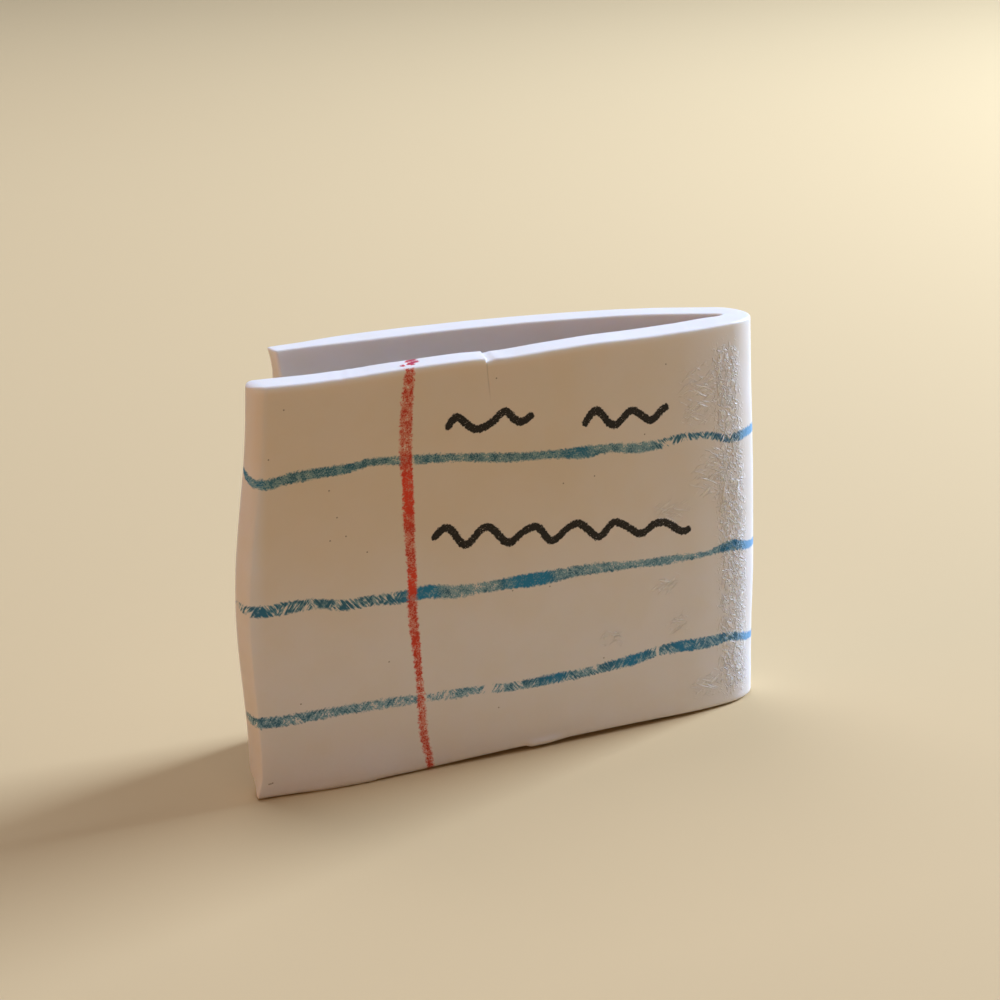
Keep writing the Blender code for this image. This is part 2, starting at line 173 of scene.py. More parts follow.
RULE_GAPS = ((13.45, 0.35, 0), (14.6, 0.3, 2), (20.6, 0.5, 2), (10.4, 0.2, 0), (31.0, 0.2, 2), (37.4, 0.2, 2))

# How separate the strokes of each blue line are before and after a distance, and how far that
# reaches up and down from the line
RULE_SEPARATION = ((37.0, 0.15, 0.85), (12.8, 0.8, 0.3), (20.0, 0.45, 0.6))
RULE_BAND = 3.5

# The red margin line: distances, half widths and pressure at even steps up from the foot
MARGIN_STEP = 3.0
MARGIN_DISTANCES = (
    15.28, 14.68, 14.43, 14.18, 13.87, 13.55, 13.5, 13.32, 13.15, 13.06, 12.85, 12.92, 13.15, 13.5, 13.8)
MARGIN_HALF_WIDTHS = (0.28, 0.36, 0.34, 0.30, 0.36, 0.40, 0.38, 0.42, 0.50, 0.48, 0.55, 0.54, 0.44, 0.34, 0.3)
MARGIN_PRESSURES = (0.80, 0.66, 0.60, 0.66, 0.86, 0.70, 0.96, 0.70, 0.90, 0.98, 0.64, 0.60, 0.70, 0.7, 0.4)
MARGIN_TOP = 37.1

# Red strokes on the top edge: distance and height of the start and the end, half width, pressure
RED_STROKES = (
    (12.9, 37.8, 13.9, 37.9, 0.24, 1.9),
    (13.4, 38.0, 14.5, 38.6, 0.27, 1.9),
    (13.5, 38.8, 14.6, 39.3, 0.25, 1.9),
)

# Black squiggles, drawn as waves: start, end, height at each, wave height, wave length
SQUIGGLES = (
    (16.8, 24.6, 31.4, 31.6, 1.0, 4.0),
    (30.0, 38.2, 30.0, 29.8, 0.95, 3.8),
    (15.6, 40.4, 21.7, 18.9, 1.0, 4.2),
)
SQUIGGLE_HALF_WIDTH = 0.36
SQUIGGLE_POINTS_PER_MM = 6
SQUIGGLE_SHAKE, SQUIGGLE_SHRINK = 1.1, 0.35

# Dark specks of dust: distance, height
SPECKS = (
    (21.3, 35.2), (2.0, 34.9), (0.7, 30.7), (6.0, 27.3), (6.7, 24.8), (6.1, 22.8), (7.5, 23.0),
    (36.0, 28.1), (38.2, 34.2), (30.9, 25.0), (27.8, 24.8), (11.4, 10.9), (3.6, 8.3), (9.4, 21.3),
    (31.9, 7.5), (21.6, 4.6), (26.5, 15.4), (22.9, 15.6), (70.5, 30.2), (62.3, 12.4), (84.6, 20.8),
    (0.85, 1.32), (1.0, 1.34), (1.15, 1.38),
)
SPECK_RADIUS = 0.07
SPECK_DRIFT = 0.004

# Where there is no pencil mark near, how far a gap lifts the pencil, how far off the inner side
# takes its grain, and where the drawn side ends: under the foot, over the top, round the end
FAR = 9.0
GAP_LIFT = 0.8
INNER_OFFSET = 20.0
DRAWN_FOOT, DRAWN_TOP_FADE, DRAWN_END = (-0.6, -0.2), 0.5, (1.4, 2.4)

# How a pencil takes to the clay: raggedness and softness of a line's edge in millimetres, how
# much pressure and its unevenness add to the strokes, the pressure that fills half, and the
# softness of a stroke
PENCIL_RAGGED, PENCIL_SOFT = 0.24, 0.12
PENCIL_PRESS, PENCIL_UNEVEN, PENCIL_EVEN = 0.36, 0.5, 0.72
PENCIL_CRISP = 0.06

# How much of the clay each mark covers, how separate the red strokes are, and the length and
# width of a blue stroke
BLUE_COVER, RED_COVER, DUST_COVER, CRACK_COVER = 0.88, 0.85, 0.75, 0.25
RED_SEPARATION = 0.4
BLUE_STROKE = (1.0, 0.17)

# Where round the lit fold the blue is painted paler as sheen, and where warm bounce light is painted
FOLD_SHEEN_START, FOLD_SHEEN_END = (45.8, 47.4), (58.0, 55.0)
WARM_BOUNCE_FOOT, WARM_BOUNCE_TOP = (8.0, 27.0), (37.0, 36.2)
WARM_BOUNCE_START, WARM_BOUNCE_END = (-0.8, 0.8), (58.0, 24.0)

# Relief of the finish in millimetres, and how its roughness changes over wrinkles and marks
FAN_RELIEF, UPRIGHT_RELIEF, SPECK_RELIEF, MARK_RELIEF = 0.12, 0.22, 0.03, 0.004
SATIN, SATIN_UNEVEN, MARKED_ROUGHER, WRINKLED_SMOOTHER = 0.44, 0.14, 0.16, 0.14

# The flat layout of the baked surface
LAYOUT_MARGIN = 0.004
CAP_LAYOUT_GAP = 0.5

# Colours, linear
CLAY = (0.83, 0.805, 0.81)
CLAY_WARM = (0.82, 0.785, 0.76)
# Warm bounce light, painted into the clay's colour
PAINTED_WARM_BOUNCE = (0.95, 0.85, 0.69)
CLAY_GLINT = (0.98, 0.97, 0.97)
BLUE_SOFT = (0.17, 0.41, 0.55)
BLUE_DEEP = (0.034, 0.15, 0.26)
BLUE_FULL = (0.014, 0.25, 0.52)
# Blue painted paler over the lit fold, as painted sheen
BLUE_FOLD_SHEEN = (0.10, 0.40, 0.76)
RED_SOFT = (0.74, 0.23, 0.16)
RED_DEEP = (0.62, 0.05, 0.022)
RED_FULL = (0.82, 0.06, 0.02)
RED_HOOK = (0.46, 0.02, 0.07)
BLACK_PENCIL = (0.014, 0.011, 0.009)
DUST_AND_CRACK_DARK = (0.16, 0.11, 0.07)
FLOOR = (0.625, 0.475, 0.272)
FLOOR_WARM = (0.615, 0.46, 0.258)
ROOM = (0.98, 0.99, 1.0)

# Camera and lights, in metres and degrees: azimuth, elevation, distance, size, level, colour
CAMERA_PLACE = (-0.08242, -0.19836, 0.0917)
CAMERA_TURN = (72.0, 0.0, -22.7)
LENS, SENSOR = 90.0, 36.0
CLIP_START, CLIP_END = 0.01, 30.0
FLOOR_SIZE, FLOOR_DROP = 12.0, 0.0001
NOTE_MIDDLE = Vector((0.0, 0.0, 0.018))
KEY = (11.5, 26.0, 0.8, 0.27, 2.14, (0.63, 0.77, 1.0))
BACK = (96.0, 62.0, 0.8, 0.5, 0.42, (0.84, 0.86, 1.0))
SKY = (-110.0, 70.0, 0.8, 0.5, 0.16, (1.0, 0.90, 0.92))
FRONT = (-122.0, 11.0, 0.8, 0.34, 0.075, (1.0, 0.45, 0.18))
FILL = (-172.0, 11.0, 0.8, 0.34, 0.145, (1.0, 0.47, 0.15))
ROOM_LIGHT, ROOM_SEEN = 0.05, 0.72


def smooth_step(low, high, value):
    """0 below low, 1 above high, and a smooth rise between."""
    t = np.clip((value - low) / (high - low), 0.0, 1.0)
    return t * t * (3.0 - 2.0 * t)


def smooth_bump(distance, reach):
    """1 at no distance, falling smoothly to 0 at the reach."""
    return 0.5 + 0.5 * np.cos(np.pi * np.clip(distance / reach, -1.0, 1.0))


def smooth_course(values, step, distance):
    """A smooth curve through evenly spaced values, held level past both ends."""
    values = np.asarray(values, float)
    place = np.clip(np.asarray(distance) / step, 0.0, len(values) - 1.000001)
    i = place.astype(int)
    t = place - i
    before, here = values[np.maximum(i - 1, 0)], values[i]
    after, beyond = values[i + 1], values[np.minimum(i + 2, len(values) - 1)]
    leave, arrive = (after - before) / 2, (beyond - here) / 2
    return (here * (2 * t**3 - 3 * t**2 + 1) + leave * (t**3 - 2 * t**2 + t)
            + after * (3 * t**2 - 2 * t**3) + arrive * (t**3 - t**2))


class Plan:
    """The sheet's mid-line seen from above: tangent arcs, one for each stretch."""

    def __init__(self, fold_turn):
        self.fold_length = (FOLD_INNER_RADIUS + HALF) * math.radians(fold_turn)
        self.stretches = (
            (FRONT_LENGTH, math.radians(FRONT_BOW)),
            (FRONT_SHOULDER_LENGTH, math.radians(FRONT_SHOULDER_TURN)),
            (BEND_LENGTH, math.radians(BEND_TURN)),
            (self.fold_length, math.radians(fold_turn)),
            (BACK_SHOULDER_LENGTH, math.radians(BACK_SHOULDER_TURN)),
            (BACK_LENGTH, math.radians(BACK_BOW)),
        )
        self.length = sum(length for length, _ in self.stretches)
        self.fold_start = FRONT_LENGTH + FRONT_SHOULDER_LENGTH + BEND_LENGTH
        self.fold_end = self.fold_start + self.fold_length
        self.turned = 0.0
        ends = self.point(np.array([0.0, self.length]))
        middle = self.point((self.fold_start + self.fold_end) / 2)
        self.turned = -np.arctan2(*(middle - ends).T[::-1]).mean()

    def place(self, distance):
        """Points of the mid-line at distances along it, with their headings."""
        distance = np.asarray(distance, float)
        x, y = np.zeros(distance.shape), np.zeros(distance.shape)
        heading = np.full(distance.shape, self.turned)
        start = 0.0
        for i, (length, turn) in enumerate(self.stretches):
            low = -np.inf if i == 0 else 0.0
            high = np.inf if i == len(self.stretches) - 1 else length
            part = np.clip(distance - start, low, high)
            curve = turn / length * np.maximum(part, 0.0)
            chord = part * np.sinc(curve / (2 * np.pi))
            x += chord * np.cos(heading + curve / 2)
            y += chord * np.sin(heading + curve / 2)
            heading += curve
            start += length
        return np.stack((x, y), -1), heading

    def point(self, distance, across=0.0):
        """Points of the sheet from above; across is positive on the inner side."""
        point, heading = self.place(distance)
        normal = np.stack((-np.sin(heading), np.cos(heading)), -1)
        return point + normal * np.asarray(across)[..., None]

    def outer_run(self, distance):
        """How far a point has come along the outer face, which is longer round the fold."""
        return distance + HALF * (self.place(distance)[1] - self.turned)

    def mouth(self):
        """The clear gap between the back panel's free end and the front panel."""
        tip = self.point(self.length, HALF)
        inner_face = self.point(np.linspace(0.0, FRONT_LENGTH, 61), HALF)
        return np.linalg.norm(inner_face - tip, axis=1).min()


def close_to_mouth_gap():
    """The plan whose fold is closed just far enough to leave the mouth gap."""
    loose, tight = 90.0, 175.0
    for _ in range(40):
        turn = (loose + tight) / 2
        if Plan(turn).mouth() > MOUTH_GAP:
            loose = turn
        else:
            tight = turn
    return Plan(turn)


def section():
    """The section's outline: across, height and girth of each row, and the row at the top's middle.

    It goes up the outer face, over the top edge, down the inner face and under the foot.
    The girth is the height on the outer face and goes on from there round the outline.
    """
    quarter = np.radians(np.linspace(0.0, 90.0, CORNER_STEPS + 1))
    foot, top = FOOT_ROUNDING, TOP_ROUNDING
    low, high = foot, HEIGHT - top
    foot_corner = [(HALF - foot + foot * math.sin(a), foot - foot * math.cos(a)) for a in quarter[::2]]
    top_corner = [(HALF - top + top * math.cos(a), high + top * math.sin(a)) for a in quarter]
    outer_rows = np.linspace(low, high, round((high - low) / OUTER_ROW_STEP) + 1)[1:-1]
    inner_rows = np.linspace(high, low, round((high - low) / INNER_ROW_STEP) + 1)[1:-1]
    top_flat = np.linspace(-HALF + top, HALF - top, FLAT_STEPS + 1)[1:-1]
    foot_flat = np.linspace(HALF - foot, -HALF + foot, FLAT_STEPS + 1)[1:-1]
    outline = [(-a, h) for a, h in foot_corner]
    outline += [(-HALF, h) for h in outer_rows]
    outline += [(-a, h) for a, h in top_corner]
    outline += [(a, HEIGHT) for a in top_flat]
    top_middle = len(outline) - len(top_flat) // 2 - 1
    outline += list(reversed(top_corner))
    outline += [(HALF, h) for h in inner_rows]
    outline += list(reversed(foot_corner))
    outline += [(a, 0.0) for a in foot_flat]
    outline = np.array(outline)
    runs = np.linalg.norm(np.diff(np.vstack((outline, outline[:1])), axis=0), axis=1)
    girth = np.concatenate(((0.0,), np.cumsum(runs)))
    girth += foot - girth[len(foot_corner) - 1]
    return outline[:, 0], outline[:, 1], girth, top_middle


def columns(plan):
    """Distances of the columns along the sheet, close together at the crack and the crazing."""
    edges = (0.0, CRAZED_START, plan.fold_start, plan.fold_end, plan.length)
    steps = (FRONT_STEP, CRAZED_STEP, FOLD_STEP, BACK_STEP)
    even = []
    for start, end, step in zip(edges, edges[1:], steps):
        even += list(np.linspace(start, end, round((end - start) / step), endpoint=False))
    even.append(plan.length)
    crack = [NICK_DISTANCE + CRACK_STEP * i for i in range(-CRACK_STEPS, CRACK_STEPS + 1)]
    room = CRACK_STEP * CRACK_STEPS + FRONT_STEP / 3
    return np.array(sorted([d for d in even if abs(d - NICK_DISTANCE) > room] + crack))


def bunch_thickness(plan, along):
    """How much the inner face stands out with the clay bunched up before the fold."""
    fall_start = plan.fold_start - BUNCH_FALL_LENGTH
    rise_end = fall_start - BUNCH_LEVEL_LENGTH
    rise = smooth_step(rise_end - BUNCH_RISE_LENGTH, rise_end, along)
    return BUNCH_THICKNESS * rise * (1.0 - smooth_step(fall_start, plan.fold_start, along))


def front_end_reach(across, height):
    """How far the front panel's free end stands out past distance zero."""
    bulge = FRONT_END_BULGE * smooth_bump(height - FRONT_END_BULGE_MIDDLE, FRONT_END_BULGE_REACH)
    above_foot = smooth_step(0.0, FRONT_FOOT_PINCH_HEIGHT, height)
    skew = (FRONT_END_SKEW + FRONT_FOOT_PINCH) * above_foot - FRONT_FOOT_PINCH
    return bulge - FRONT_END_INSET * above_foot + skew * (0.5 + across / THICKNESS)


def fold_bulge(plan, along, height):
    """How far the fold and what is next to it stand out along X, most at mid-height."""
    before = smooth_step(plan.fold_start - FOLD_BULGE_REACH, plan.fold_start, along)
    past = smooth_step(plan.fold_end, plan.fold_end + FOLD_BULGE_REACH, along)
    return FOLD_BULGE * before * (1.0 - past) * smooth_bump(height - HEIGHT / 2, HEIGHT / 2)


def foot_lift(distance, across, height):
    """How far the foot of the front panel is off the floor: two low arches, and a small step."""
    arch = FOOT_ARCH * smooth_bump(distance - FOOT_ARCH_MIDDLE, FOOT_ARCH_REACH)
    arch = arch + FOOT_LIFT * smooth_bump(distance - FOOT_LIFT_MIDDLE, FOOT_LIFT_REACH)
    arch = arch * (1.0 - smooth_step(0.0, FOOT_ARCH_HEIGHT, height))
    from_step = distance - FOOT_STEP_DISTANCE
    step = smooth_step(-FOOT_STEP_WIDTH / 2, FOOT_STEP_WIDTH / 2, from_step)
    step = step * (1.0 - smooth_step(0.0, FOOT_STEP_FADE, from_step)) * (0.5 - across / THICKNESS)
    return arch + FOOT_STEP * step * (1.0 - smooth_step(0.0, FOOT_STEP_HEIGHT, height))


def crack_lean(across, height):
    """How far the nick and its crack have moved towards the fold, going inwards and down."""
    down = np.clip((HEIGHT - height) / CRACK_LENGTH, 0.0, 1.0)
    inner = 0.5 + across / THICKNESS
    return CRACK_LEAN * down + NICK_LEAN * inner * smooth_step(HEIGHT - NICK_LEAN_FADE, HEIGHT, height)


def top_height(plan, distance, along, across, height):
    """How far a point near the top stands above or below its height on the flat sheet."""
    inner = 0.5 + across / THICKNESS
    from_nick = distance - NICK_DISTANCE
    past_step = smooth_step(-NICK_STEP / 2, NICK_STEP / 2, from_nick)
    lip = smooth_bump(np.minimum(from_nick, 0.0), NICK_LIP_LENGTH) * (1.0 - past_step)
    dip = past_step * smooth_step(NICK_RISE_LENGTH, 0.0, from_nick) * (1.0 - NICK_INNER_LOSS * inner)
    nick = NICK_LIP_HEIGHT * lip - NICK_DEPTH * dip
    nick = nick * smooth_step(HEIGHT - NICK_FADE, HEIGHT - 0.1, height)
    wander = smooth_course(TOP_WANDERS, TOP_WANDER_STEP, along)
    wander = wander - BACK_TOP_DROP * smooth_step(plan.fold_end, plan.length, along)
    return wander * smooth_step(HEIGHT / 2, HEIGHT, height) + nick


def sheet_points(plan, distance, across, height):
    """Points of the standing note, from their places on the flat sheet."""
    near_end = 1.0 - smooth_step(0.0, FRONT_END_BLEND, distance)
    along = distance - front_end_reach(across, height) * near_end
    along = along + crack_lean(across, height) * smooth_bump(distance - NICK_DISTANCE, CRACK_REACH)
    far_end = smooth_step(plan.length - BACK_END_TAPER_LENGTH, plan.length, distance)
    above = np.clip(1.0 - (HEIGHT - height) / BACK_END_LEAN_DROP, 0.0, 1.0)
    along = along - BACK_END_LEAN * far_end * (1.0 - above**2)
    taper = smooth_step(plan.length - BACK_END_TAPER_LENGTH, plan.length, along)
    depth = across * (1.0 - BACK_END_THINNING / THICKNESS * taper)
    depth = depth + bunch_thickness(plan, along) * (0.5 + across / THICKNESS)
    level = height + top_height(plan, distance, along, across, height) + foot_lift(distance, across, height)
    points = np.concatenate((plan.point(along, depth), level[..., None]), -1)
    points[..., 0] += fold_bulge(plan, along, height)
    return points, along


def noise_field(places, scale, seed):
    """Smooth noise between about -1 and 1 at an array of places."""
    moved = (places / scale + np.array((seed * 7.31, seed * 3.77, seed * 5.13))).reshape(-1, 3)
    values = [noise.noise(Vector(place)) for place in moved]
    return np.array(values).reshape(places.shape[:-1])


def ridges(values, sharpness):
    """Thin ridges where smooth noise passes through zero."""
    return np.clip(1.0 - np.abs(values) * 2.6, 0.0, 1.0) ** sharpness


class Surface:
    """The note's surface as a grid: one ring for each column, one point for each row.

    Three places are kept for each point: where it stands, where it lies on the flat sheet,
    and where it lies on the drawn side, which goes on over the top edge and the front end.
    """

    def __init__(self):
        self.plan = close_to_mouth_gap()
        across_row, height_row, self.girth_row, self.top_middle = section()
        self.set_rings()
        shape = (len(self.ring_distance), len(across_row))
        self.roundness = np.where(self.outward < 0.0, FRONT_END_ROUNDNESS, BACK_END_ROUNDNESS)
        narrowing = (np.cos(self.ring_angle) ** self.roundness)[:, None]
        inset = TOP_ROUNDING * (1.0 - narrowing) / (HEIGHT / 2)
        self.distance = np.broadcast_to(self.ring_distance[:, None], shape)
        self.across = across_row * narrowing
        self.height = HEIGHT / 2 + (height_row - HEIGHT / 2) * (1.0 - inset)
        self.girth = np.broadcast_to(self.girth_row[:-1], shape)
        self.points, self.along = sheet_points(self.plan, self.distance, self.across, self.height)
        self.crown_ends(smooth_step(0.0, HEIGHT, height_row))
        self.stand_in_frame()
        self.lay_out_drawn_side()

    def set_rings(self):
        """Distances of all rings; those of the two ends also have an angle and a direction."""
        steps = 0.5 - 0.5 * np.cos(np.linspace(0.0, np.pi, END_STEPS + 1)[1:])
        angles = np.radians(END_LAST_ANGLE * steps)
        middle, none = columns(self.plan), np.zeros(END_STEPS)
        level = np.zeros(len(middle))
        self.ring_distance = np.concatenate((none, middle, none + self.plan.length))
        self.ring_angle = np.concatenate((angles[::-1], level, angles))
        self.outward = np.concatenate((none - 1.0, level, none + 1.0))

    def crown_ends(self, rise):
        """Push the rings of the two ends outwards, further the narrower they are."""
        heading = self.plan.place(self.ring_distance)[1]
        direction = np.stack((np.cos(heading), np.sin(heading)), -1) * self.outward[:, None]
        front = FRONT_FOOT_CROWN + (FRONT_END_CROWN - FRONT_FOOT_CROWN) * rise
        reach = np.where(self.outward[:, None] < 0.0, front, BACK_END_CROWN)
        reach = reach * (np.sin(self.ring_angle) ** self.roundness)[:, None]
        self.points[..., :2] += direction[:, None] * reach[..., None]

    def stand_in_frame(self):
        """Lengthen the note towards the floor, and stand it where the frame has it."""
        x, z = self.points[..., 0], self.points[..., 2]
        low, high = x.min(), x.max()
        x += (x - (low + high) / 2) * FOOT_SPREAD / (high - low) * (1.0 - z / HEIGHT)
        low, high = (np.array(corner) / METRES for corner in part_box("folded_sheet"))
        flat = self.points.reshape(-1, 3)
        shift = (low + high) / 2 - (flat.min(0) + flat.max(0)) / 2
        shift[2] = low[2] - flat[:, 2].min()
        self.points += shift

    def lay_out_drawn_side(self):
        """Places on the drawn side, and how much of each point belongs to it."""
        on_end = (self.outward < 0.0)[:, None]
        round_end = (HALF + self.across) * on_end
        self.drawn_along = self.along - round_end
        self.drawn_height = np.where(on_end, self.height, self.girth)
        self.run = self.plan.outer_run(self.along) - round_end
        inner_edge = HEIGHT + THICKNESS
        before_inner = 1.0 - smooth_step(inner_edge - DRAWN_TOP_FADE, inner_edge, self.girth)
        face = smooth_step(*DRAWN_FOOT, self.girth) * before_inner
        self.drawn = np.where(on_end, 1.0 - smooth_step(*DRAWN_END, round_end), face)
        self.outer = 1.0 - smooth_step(-0.45 * THICKNESS, -0.1 * THICKNESS, self.across)

    def normals(self):
        """The direction that each point of the surface faces."""
        rings_on = np.gradient(self.points, axis=0)
        rows_on = np.roll(self.points, -1, 1) - np.roll(self.points, 1, 1)
        facing = np.cross(rings_on, rows_on)
        return facing / np.maximum(np.linalg.norm(facing, axis=-1, keepdims=True), 1e-9)

    def raise_by(self, rise):
        """Move the surface out by a relief, which dies away on the closed ends."""
        rise = rise * (1.0 - np.sin(self.ring_angle))[:, None]
        self.points += self.normals() * rise[..., None]
        self.points[..., 2] = np.maximum(self.points[..., 2], 0.0)


def crazing_masks(surface):
    """Where the clay is crazed by the fold, and where it has patches of fine wrinkles."""
    along, height = surface.along, surface.height
    leaning = along + CRAZING_LEAN * (height - HEIGHT / 2)
    fold = smooth_step(*CRAZING_RISE, leaning) * (1.0 - smooth_step(*CRAZING_FALL, leaning))
    fold = fold * smooth_step(*CRAZING_FOOT, height) * (1.0 - smooth_step(*CRAZING_TOP, height))
    patches = np.zeros(along.shape)
    for distance, level, reach, rise in WRINKLE_PATCHES:
        away = np.hypot((along - distance) / reach, (height - level) / rise)
        patches = np.maximum(patches, 1.0 - smooth_step(0.25, 1.0, away))
    return fold * surface.outer, patches * surface.outer


def rolled_relief(surface):
    """The gentle unevenness of clay that was rolled out by hand."""
    rise = np.zeros(surface.along.shape)
    for seed, (amount, scale) in enumerate(ROLLING, start=1):
        rise += amount * noise_field(surface.points, scale, seed)
    return rise * smooth_step(0.0, 3.0, surface.height)


def crazed_relief(surface, crazing):
    """Short upright wrinkles where the skin of the clay was stretched round the fold."""
    crazed = crazing > 0.0
    flat = np.stack((surface.run[crazed], surface.height[crazed], np.zeros(crazed.sum())), -1)
    bend = WRINKLE_BEND * np.stack((noise_field(flat, 1.6, 5), noise_field(flat, 1.3, 6), flat[..., 2]), -1)
    size = np.array((WRINKLE_PITCH, WRINKLE_LENGTH, 1.0))
    upright = (flat + bend) / size
    slanting = (flat + bend) @ np.array(WRINKLE_SLANT) / size
    wrinkles = ridges(noise_field(upright, 1.0, 7), 2.0)
    wrinkles += 0.6 * ridges(noise_field(slanting, 1.0, 8), 2.0)
    wrinkles *= np.clip(0.55 + 0.9 * noise_field(flat, 2.8, 9), 0.15, 1.0)
    rise = np.zeros(crazing.shape)
    rise[crazed] = CRAZING_HEIGHT * wrinkles * crazing[crazed]
    return rise


def crack_mask(surface):
    """Where the hairline crack is."""
    crack = np.clip(1.0 - np.abs(surface.distance - NICK_DISTANCE) / CRACK_WIDTH, 0.0, 1.0)
    crack = crack * smooth_step(HEIGHT - CRACK_LENGTH, HEIGHT - CRACK_LENGTH / 2, surface.height)
    return crack * surface.outer


def damage_relief(surface):
    """The hairline crack, the creases in the top edge, and the foot's flare and squeezed lip."""
    along, height = surface.along, surface.height
    rise = -CRACK_DEPTH * crack_mask(surface)
    on_top = smooth_step(HEIGHT - TOP_ROUNDING, HEIGHT, height)
    for distance, width, depth in TOP_CREASES:
        rise -= depth * smooth_bump(along - distance - CREASE_SLANT * surface.across, width) * on_top
    flare = FOOT_FLARE * smooth_bump(along - FOOT_FLARE_MIDDLE, FOOT_FLARE_REACH)
    rise += flare * smooth_step(FOOT_FLARE_HEIGHT, 0.0, height) * surface.outer
    lip = smooth_step(LIP_START, LIP_START + 0.5, along) * (1.0 - smooth_step(LIP_END - 3.0, LIP_END, along))
    return rise + LIP_REACH * lip * (1.0 - smooth_step(0.0, LIP_HEIGHT, height)) * surface.outer


def squiggle_points():
    """Points along all the squiggles, which are waves drawn by hand."""
    rows = []
    for number, (start, end, low, high, rise, pitch) in enumerate(SQUIGGLES):
        length = end - start
        t = np.linspace(0.0, 1.0, int(length * SQUIGGLE_POINTS_PER_MM))
        shake = np.array([noise.noise(Vector((v * length / 3.1, number * 9.7, 0.0))) for v in t])
        sway = np.array([noise.noise(Vector((v * length / 2.3, number * 4.1, 8.0))) for v in t])
        phase = 2.0 * np.pi * t * length / pitch + SQUIGGLE_SHAKE * shake
        size = rise * (0.78 + 0.5 * sway) * (1.0 - SQUIGGLE_SHRINK * t)
        along = start + length * t
        rows.append(np.stack((along, low + (high - low) * t + size * np.sin(phase)), -1))
    return np.vstack(rows)


def rule_marks(along, height):
    """For the nearest blue line: the distance from it, its half width and its pressure."""
    marks = np.full(along.shape + (3,), (FAR, 0.0, 0.0))
    place = along - RULE_START
    for number, heights in enumerate(RULE_HEIGHTS):
        away = np.abs(height - smooth_course(heights, RULE_STEP, place))
        width = smooth_course(RULE_HALF_WIDTHS[number], RULE_STEP, place)
        pressure = smooth_course(RULE_PRESSURES[number], RULE_STEP, place)
        for gap, reach, line in RULE_GAPS:
            if line == number:
                pressure = pressure - GAP_LIFT * smooth_bump(along - gap, reach)
        nearer = away - width < marks[..., 0] - marks[..., 1]
        marks[nearer] = np.stack((away, width, pressure), -1)[nearer]
    return marks


def rule_separation(along, height):
    """How separate the strokes are, for the blue line that is near."""
    separate = np.zeros(along.shape)
    for heights, (middle, before, after) in zip(RULE_HEIGHTS, RULE_SEPARATION):
        near = np.abs(height - np.mean(heights)) < RULE_BAND
        share = smooth_step(middle - 1.0, middle + 1.0, along)
        separate[near] = (before + (after - before) * share)[near]
    return separate


def add_strokes(marks, strokes, along, height):
    """Marks with short straight strokes drawn over them."""
    for start_along, start_height, end_along, end_height, width, pressure in strokes:
        run = np.array((end_along - start_along, end_height - start_height))
        from_start = np.stack((along - start_along, height - start_height), -1)
        share = np.clip(from_start @ run / (run @ run), 0.0, 1.0)
        away = np.linalg.norm(from_start - share[..., None] * run, axis=-1)
        over = away - width < marks[..., 0] - marks[..., 1]
        marks[over] = np.stack((away, np.full(away.shape, width), np.full(away.shape, pressure)), -1)[over]
    return marks


def margin_marks(along, height):
    """For the red line: the distance from it, its half width and its pressure."""
    away = np.abs(along - smooth_course(MARGIN_DISTANCES, MARGIN_STEP, height))
    width = smooth_course(MARGIN_HALF_WIDTHS, MARGIN_STEP, height)
    pressure = smooth_course(MARGIN_PRESSURES, MARGIN_STEP, height)
    marks = np.stack((away, width, pressure - smooth_step(MARGIN_TOP - 0.3, MARGIN_TOP, height)), -1)
    return add_strokes(marks, RED_STROKES, along, height)


def squiggle_distance(along, height):
    """The distance from the nearest black squiggle."""
    away = np.full(along.shape, FAR)
    points = squiggle_points()
    low, high = points.min(0) - 1.5, points.max(0) + 1.5
    near = (along > low[0]) & (along < high[0]) & (height > low[1]) & (height < high[1])
    spots = np.stack((along[near], height[near]), -1)
    batches = np.array_split(spots, max(len(spots) // 500, 1))
    nearest = [np.linalg.norm(batch[:, None] - points, axis=-1).min(1) for batch in batches]
    away[near] = np.concatenate(nearest)
    return away


def zip_up(ring, heights, top_middle):
    """Triangles that close the narrow slit left by the last ring of an end."""
    count = len(ring)
    outer = list(range(top_middle + 1))
    inner = [0] + list(range(count - 1, top_middle - 1, -1))
    faces, a, b = [], 0, 0
    while a < len(outer) - 1 or b < len(inner) - 1:
        if b == len(inner) - 1:
            up_outer = True
        elif a == len(outer) - 1:
            up_outer = False
        else:
            up_outer = heights[outer[a + 1]] <= heights[inner[b + 1]]
        third = outer[a + 1] if up_outer else inner[b + 1]
        if len({outer[a], inner[b], third}) == 3:
            faces.append((outer[a], third, inner[b]))
        a, b = (a + 1, b) if up_outer else (a, b + 1)
    return faces


def sheet_faces(surface):
    """Corner numbers of every face, and the flat layout of each of those corners."""
    rings, count = surface.along.shape
    r, i = (n.ravel() for n in np.mgrid[:rings - 1, :count])
    j = (i + 1) % count
    quads = np.stack((r * count + i, (r + 1) * count + i, (r + 1) * count + j, r * count + j), -1)
    side = HALF * (1.0 - np.cos(surface.ring_angle)) * surface.outward
    u = surface.plan.outer_run(surface.ring_distance) + side
    v = surface.girth_row
    layout = np.stack((np.stack((u[r], u[r + 1], u[r + 1], u[r]), -1),
                       np.stack((v[i], v[i], v[i + 1], v[i + 1]), -1)), -1)
    faces, corners = quads.tolist(), layout.reshape(-1, 2).tolist()
    for ring, turned in ((0, False), (rings - 1, True)):
        numbers = np.arange(count) + ring * count
        for face in zip_up(numbers, surface.height[ring], surface.top_middle):
            face = face[::-1] if turned else face
            faces.append([int(numbers[n]) for n in face])
            edge = u[ring] + CAP_LAYOUT_GAP * surface.outward[ring]
            corners += [(edge + surface.across[ring, n], surface.height[ring, n]) for n in face]
    corners = np.array(corners)
    corners = (corners - corners.min(0)) / (corners.max(0) - corners.min(0))
    return faces, LAYOUT_MARGIN + corners * (1.0 - 2.0 * LAYOUT_MARGIN)


